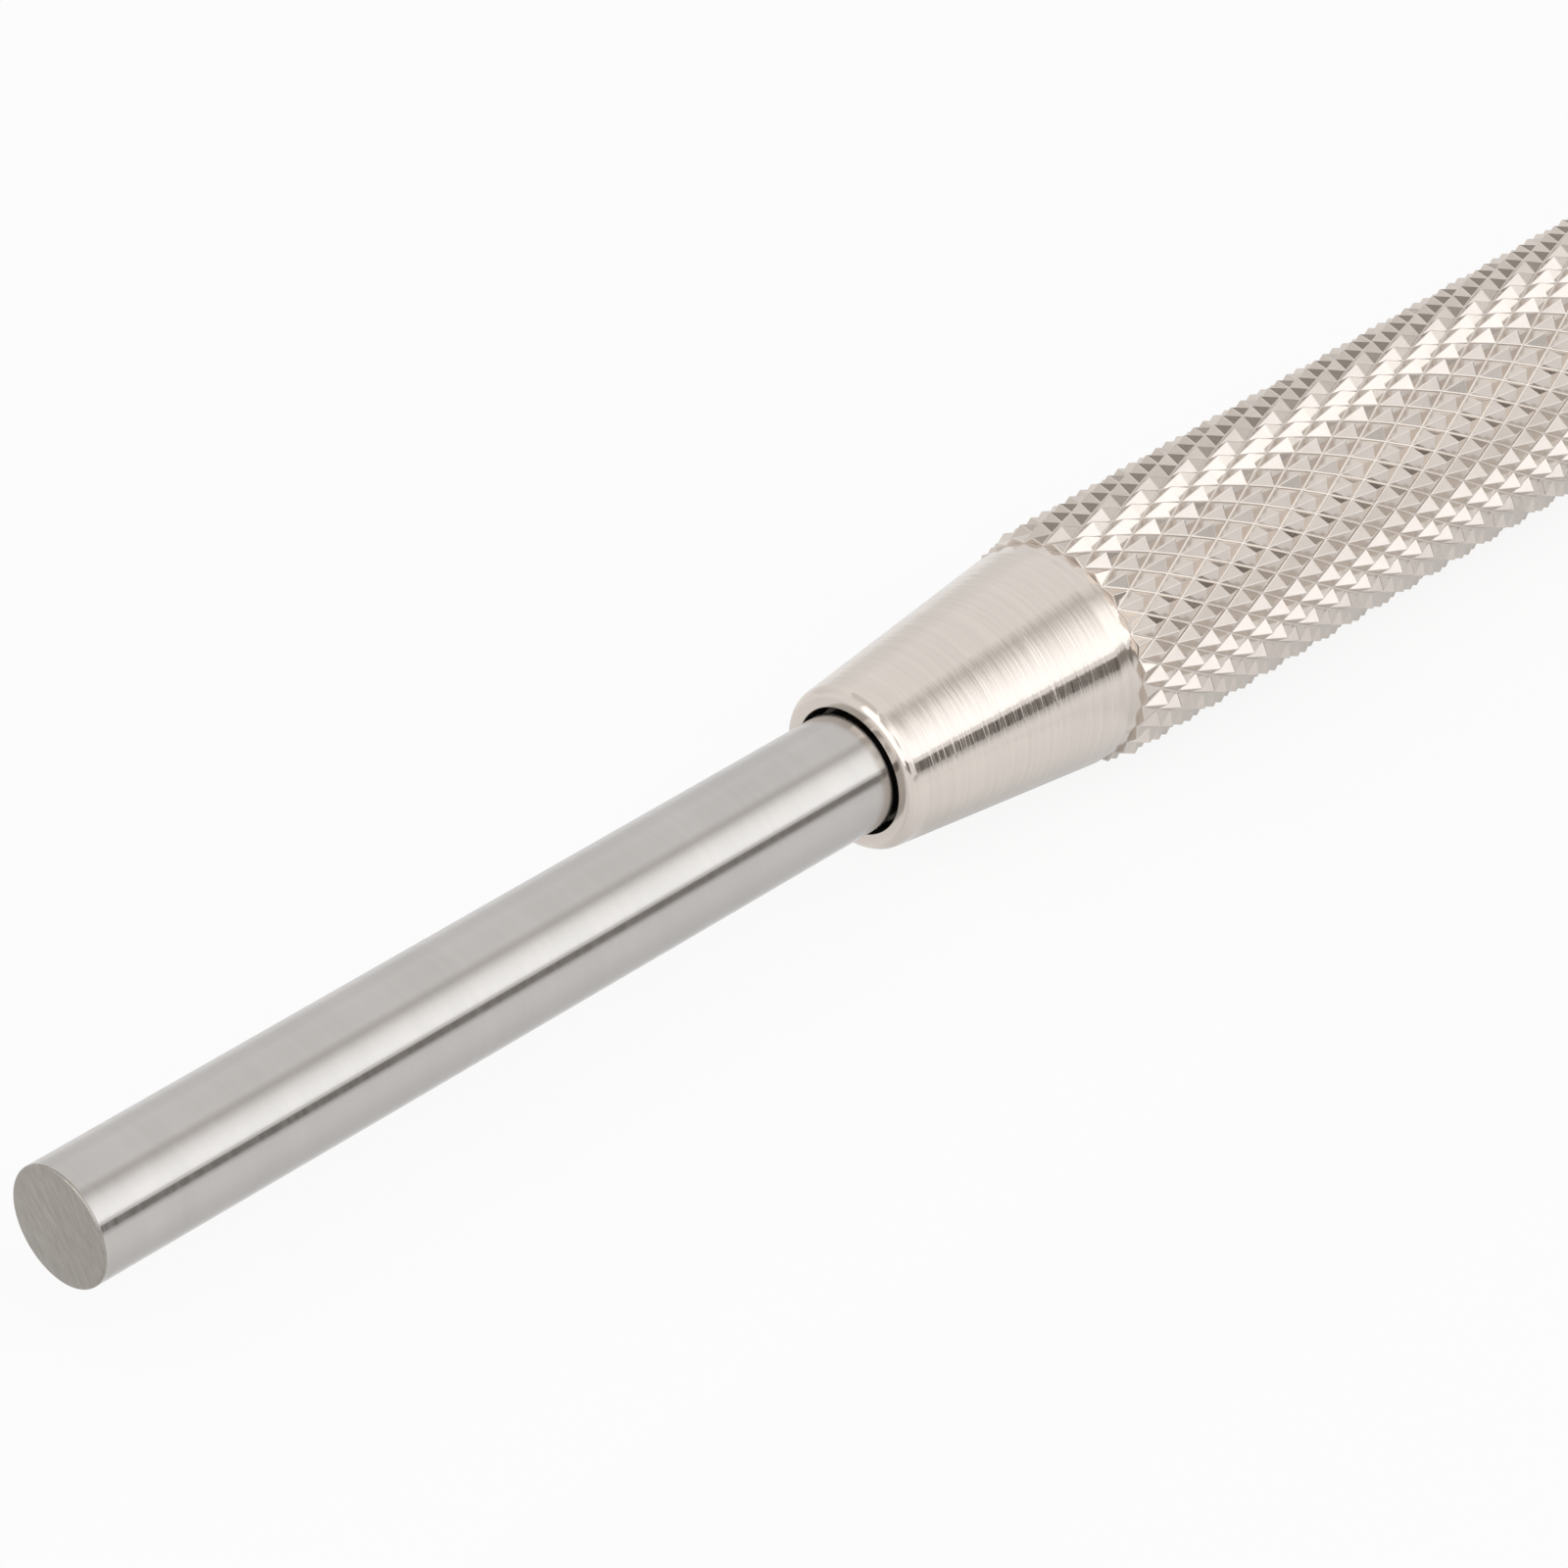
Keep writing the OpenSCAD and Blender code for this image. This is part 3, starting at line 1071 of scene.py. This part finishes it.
def add_world():
    world = bpy.data.worlds.new("studio")
    bpy.context.scene.world = world
    world.use_nodes = True
    nodes, links = world.node_tree.nodes, world.node_tree.links
    strength = math_on(nodes, links, "ADD", seen_share(nodes, links, 1 - WORLD_FILL), WORLD_FILL)
    background = nodes["Background"]
    background.inputs["Color"].default_value = (*WHITE, 1)
    links.new(strength, background.inputs["Strength"])


add_world()
bpy.context.scene.view_settings.view_transform = "Standard"
print("world fill", WORLD_FILL)

# %% [markdown]
# ## Panels for the metal
#
# Polished metal shows what stands round it, and a photographer lights it with large white
# and dark panels. A round bar spreads its surroundings across its width, so each streak
# along the pin is a long panel beside it. Lamps would work too, but a panel's shape and
# shading show in the metal just as they are. The panels show in reflections only.

# %% Panel
def add_panel(name, centre, size, rotation, material):
    """A flat panel of this size, that only reflections show."""
    deselect_all()
    bpy.ops.mesh.primitive_plane_add(size=1, location=centre, rotation=rotation)
    panel = bpy.context.object
    panel.name = name
    panel.scale = (*size, 1)
    apply_place(panel)
    dress(panel, material)
    panel.visible_camera = panel.visible_diffuse = False
    panel.visible_shadow = panel.visible_transmission = False
    print("panel", name, "of", [round(side, 3) for side in size], "m")


# %% [markdown]
# ## Cards of one tone
#
# The simplest panel is a card of one even tone. A matt card would change with the lamps, so
# this one glows by itself at the tone it should show. Most cards lie flat, or stand along
# the tool or across it.

# %% Card
FLAT = (0, 0, 0)
ALONG_TOOL = (math.pi / 2, 0, 0)
ACROSS_TOOL = (0, math.pi / 2, 0)


def glowing(name, colour, strength):
    """A material of one even glow. Returns its glow too, so that a ramp can colour it."""
    material, nodes, links = new_material(name)
    glow = nodes.new("ShaderNodeEmission")
    glow.inputs["Color"].default_value = (*colour, 1)
    glow.inputs["Strength"].default_value = strength
    links.new(glow.outputs["Emission"], nodes["Material Output"].inputs["Surface"])
    return material, glow


def add_card(name, centre, size, rotation, colour, strength=1):
    """A panel of one even tone."""
    material, _ = glowing(name, colour, strength)
    add_panel(name, centre, size, rotation, material)


def span_of(low, high):
    """The middle and the length of a span."""
    return (low + high) / 2, high - low


# %% [markdown]
# ## An angle round the tool
#
# The bright streak on the pin is not even: it grows from a soft upper edge to a hard lower
# one. A panel could fade across its width, but what a point of the pin shows depends on the
# angle round the tool's axis. So that angle colours a panel here: 0 is level on the
# camera's side, 90 straight up, and -90 straight down.

# %% Angle
def angle_on(nodes, links):
    """The angle about the X axis, in radians, of a point of the panel."""
    coordinates = nodes.new("ShaderNodeTexCoord")
    split = nodes.new("ShaderNodeSeparateXYZ")
    links.new(coordinates.outputs["Object"], split.inputs["Vector"])
    towards_camera = math_on(nodes, links, "MULTIPLY", split.outputs["Y"], -1)
    return math_on(nodes, links, "ARCTAN2", split.outputs["Z"], towards_camera)


# %% [markdown]
# ## A panel that fades by angle
#
# A ramp over that angle is a row of pairs, degrees and brightness. The dim end of a ramp may
# have another tint than its bright end, as a photographer's cloth has. A colour ramp stops
# at one, so brightness is given as a share of the peak, and the peak is the glow's strength.

# %% Angle ramp
NO_TINTS = (WHITE, WHITE)
DIM_SHARE = 0.4


def tinted(share, tints):
    """A grey of this share, with the first tint where it is dim and the second where bright."""
    blend = min(max((share - DIM_SHARE) / (1 - DIM_SHARE), 0), 1)
    return tuple(share * (dim + (bright - dim) * blend) for dim, bright in zip(*tints))


def angle_ramp(material, glow, steps, peak, tints):
    """Colours a glow by the angle. steps are pairs of degrees and a value up to peak."""
    nodes, links = material.node_tree.nodes, material.node_tree.links
    low, high = steps[0][0], steps[-1][0]
    share = nodes.new("ShaderNodeMapRange")
    share.inputs["From Min"].default_value = math.radians(low)
    share.inputs["From Max"].default_value = math.radians(high)
    links.new(angle_on(nodes, links), share.inputs["Value"])
    ramp = nodes.new("ShaderNodeValToRGB")
    marks = ramp.color_ramp.elements
    while len(marks) < len(steps):
        marks.new(1 / 2)
    for mark, (degrees, value) in zip(marks, steps):
        mark.position = (degrees - low) / (high - low)
        mark.color = (*tinted(value / peak, tints), 1)
    links.new(share.outputs["Result"], ramp.inputs["Fac"])
    links.new(ramp.outputs["Color"], glow.inputs["Color"])


def add_graded(name, centre, size, rotation, steps, peak=1, tints=NO_TINTS):
    """A panel whose brightness follows the angle."""
    material, glow = glowing(name, WHITE, peak)
    angle_ramp(material, glow, steps, peak, tints)
    add_panel(name, centre, size, rotation, material)


# %% [markdown]
# ## The graded lights
#
# Four graded panels stand side by side above the camera's side of the tool. The tool reflects
# further back than it stands, so each part of it has a light of its own: the first two for
# the facets of the knurl, which face to the left or to the right, then one for the nose and
# one for the pin. All are bright in their lower half and dimmer higher up, and the nickel's
# lights are a little cooler where they are bright.

# %% Graded lights
PANEL_DISTANCE = 0.8
LIGHT_PEAK = 1.8
PIN_TINTS = ((1, 0.98, 0.965), (0.98, 1, 1.01))
NICKEL_TINTS = ((1, 0.97, 0.95), (0.96, 0.995, 1.035))
LIGHTS = (
    (
        "knurl_left_light", (-1.2, 0.12), NICKEL_TINTS,
        ((17, 1.5), (24, 1.6), (54, 1.6), (62, 1.45), (69, 1), (75, 0.8), (84, 0.8)),
    ),
    (
        "knurl_right_light", (0.12, 0.35), NICKEL_TINTS,
        ((8, 1.2), (17, 1.5), (34, 1.5), (44, 1.52), (54, 1.47), (64, 1.22), (72, 1), (84, 0.9)),
    ),
    (
        "nose_light", (0.35, 0.48), NICKEL_TINTS,
        ((17, 1.62), (24, 1.68), (34, 1.55), (44, 1.26), (54, 0.94), (63, 0.64), (75, 0.56), (84, 0.93)),
    ),
    (
        "pin_light", (0.48, 3.2), PIN_TINTS,
        ((17, 1.6), (24, 1.7), (34, 1.65), (44, 1.6), (54, 1.46), (64, 1.08), (72, 0.76), (84, 0.98)),
    ),
)


def above_tool(along, angle):
    """A place on the camera's side, at this angle round the axis."""
    return along, -PANEL_DISTANCE * math.cos(angle), PANEL_DISTANCE * math.sin(angle)


def add_light(name, span, tints, steps):
    """A long graded light, square to the line from the axis to its middle."""
    low, high = steps[0][0], steps[-1][0]
    middle = math.radians(low + high) / 2
    along, length = span_of(*span)
    height = 2 * PANEL_DISTANCE * math.tan(math.radians(high - low) / 2)
    rotation = (math.pi / 2 - middle, 0, 0)
    add_graded(name, above_tool(along, middle), (length, height), rotation, steps, LIGHT_PEAK, tints)


for light in LIGHTS:
    add_light(*light)

# %% [markdown]
# ## The dark line
#
# Right under the bright streak runs a thin dark line, which draws the bar's roundness better
# than anything else. Painted on the bar it would turn with it, so dark cards stand there, as
# photographers do it. They reach from the floor up to an angle of eleven to sixteen
# degrees, with a gap between them that the facets of the knurl look through. A last card
# lies on the floor in front of them and fades towards the tool, for a soft lower edge.

# %% Dark cards
PIN_CARD_TONE = (0.31, 0.288, 0.268)
NOSE_CARD_TONE = (0.05, 0.043, 0.037)
KNURL_CARD_TONE = (0.25, 0.232, 0.215)
CARDS = (
    ((0.48, 3.2), 11.3, PIN_CARD_TONE),
    ((0.33, 0.48), 12, NOSE_CARD_TONE),
    ((-2.5, -0.33), 16, KNURL_CARD_TONE),
)
FLOOR_CARD_SPAN = (0.02, 3.2)
FLOOR_CARD_STEPS = ((-9, 1), (-6, 0.92), (-3, 0.68), (0, 0.42))
CARD_LIFT = 0.02 * MM


def add_standing_cards():
    for span, top_angle, tone in CARDS:
        top = PANEL_DISTANCE * math.tan(math.radians(top_angle))
        z_middle, height = span_of(FLOOR_TOP, top)
        x_middle, length = span_of(*span)
        add_card("dark_card", (x_middle, -PANEL_DISTANCE, z_middle), (length, height), ALONG_TOOL, tone)


def add_floor_card():
    near = FLOOR_TOP / math.tan(math.radians(FLOOR_CARD_STEPS[0][0]))
    x_middle, length = span_of(*FLOOR_CARD_SPAN)
    y_middle, width = span_of(-PANEL_DISTANCE, -near)
    centre = (x_middle, y_middle, FLOOR_TOP + CARD_LIFT)
    add_graded("floor_card", centre, (length, width), FLAT, FLOOR_CARD_STEPS)


add_standing_cards()
add_floor_card()

# %% [markdown]
# ## The floor in the tool's own shade
#
# The lower half of the tool shows the floor right under it, and there the tool keeps the light
# off. A matt floor would get darker there by itself, but ours glows. So thin panels lie just
# on it, one each for the pin, the nose and the knurl, and darken towards the tool. The nose
# and the knurl shade the floor more than the thin pin does.

# %% Floor shades
SHADES = (
    (
        (-60 * MM, 52 * MM),
        (
            (-165, 0.9), (-150, 0.9), (-110, 0.85), (-100, 0.87), (-90, 0.905), (-81, 0.845),
            (-72, 0.76), (-57, 0.81), (-41, 0.9), (-30, 0.97), (-15, 1),
        ),
    ),
    (
        (52 * MM, 66 * MM),
        (
            (-165, 0.97), (-150, 0.9), (-130, 0.62), (-90, 0.6), (-70, 0.64), (-57, 0.7),
            (-45, 0.845), (-37, 0.92), (-29, 0.95), (-20, 0.99), (-15, 1),
        ),
    ),
    (
        (66 * MM, 210 * MM),
        (
            (-165, 0.96), (-150, 0.9), (-130, 0.5), (-90, 0.5), (-70, 0.56),
            (-50, 0.7), (-30, 0.82), (-12, 0.96),
        ),
    ),
)


def add_floor_shades():
    for span, steps in SHADES:
        x_middle, length = span_of(*span)
        half_width = FLOOR_TOP / math.tan(math.radians(steps[-1][0]))
        centre = (x_middle, 0, FLOOR_TOP + CARD_LIFT)
        add_graded("floor_shade", centre, (length, 2 * half_width), FLAT, steps)


add_floor_shades()

# %% [markdown]
# ## Cards for the knurl
#
# The knurl's four-sided points look four ways. Those that face away from the camera near the
# upper edge are nearly brown in the picture, so a card stands far beyond the handle, where
# only they see it, and a slightly dim one hangs overhead.

# %% Knurl cards
FAR_TONE = (0.35, 0.33, 0.305)
FAR_PLACE = (1.5, 0.49, 0.545)
FAR_SIZE = (0.79, 1.02)
OVERHEAD_TONE = (0.8, 0.78, 0.76)
OVERHEAD_PLACE = (-0.15, 0.3, PANEL_DISTANCE)
OVERHEAD_SIZE = (0.7, 0.64)
add_card("far_card", FAR_PLACE, FAR_SIZE, ACROSS_TOOL, FAR_TONE)
add_card("overhead_card", OVERHEAD_PLACE, OVERHEAD_SIZE, FLAT, OVERHEAD_TONE)

# %% [markdown]
# ## The room behind and in front
#
# The upper edge of the pin mirrors the room behind the tool at a low angle, and the picture
# shows it a little dimmer than white there. The lip of the sleeve and the pin's edge look to
# the front, where a large light gives the lip its white streak. The camera is a darker
# shape too: inner corners mirror it back to itself.

# %% Back panel, front light and camera card
BACK_STEPS = ((140, 1), (150, 0.93), (160, 0.9), (170, 0.88), (180, 0.87))
BACK_SPAN = (-0.4, 3.2)
FRONT_STRENGTH = 1.8
FRONT_PLACE = (-1, -0.25, 1.09)
FRONT_SIZE = (2.12, 1.5)
CAMERA_TONE = (0.85, 0.84, 0.83)
CAMERA_SIZE = (0.09, 0.09)


def add_back_panel():
    top = PANEL_DISTANCE * math.tan(math.radians(180 - BACK_STEPS[0][0]))
    x_middle, length = span_of(*BACK_SPAN)
    z_middle, height = span_of(0, top)
    add_graded("back_panel", (x_middle, PANEL_DISTANCE, z_middle), (length, height), ALONG_TOOL, BACK_STEPS)


def add_camera_card():
    camera = bpy.context.scene.camera
    add_card("camera_card", camera.location, CAMERA_SIZE, camera.rotation_euler, CAMERA_TONE)


add_back_panel()
add_card("front_light", FRONT_PLACE, FRONT_SIZE, ACROSS_TOOL, WHITE, FRONT_STRENGTH)
add_camera_card()

# %% [markdown]
# ## The key light
#
# One lamp stands above the camera's side to draw the shadow on the floor. Reflections don't
# show it, because the panels already make them. A small lamp would draw the shadow's edge
# hard, and a large one draws it soft.

# %% Key light
KEY_ALONG = 70 * MM
KEY_ANGLE = math.radians(50)
KEY_SIZE = 0.6
KEY_POWER = 1.2


def add_key_light():
    deselect_all()
    rotation = (math.pi / 2 - KEY_ANGLE, 0, 0)
    bpy.ops.object.light_add(type="AREA", location=above_tool(KEY_ALONG, KEY_ANGLE), rotation=rotation)
    lamp = bpy.context.object
    lamp.data.size = KEY_SIZE
    lamp.data.energy = KEY_POWER
    lamp.visible_camera = False
    lamp.visible_glossy = False
    print("key light of", KEY_POWER, "W")


add_key_light()
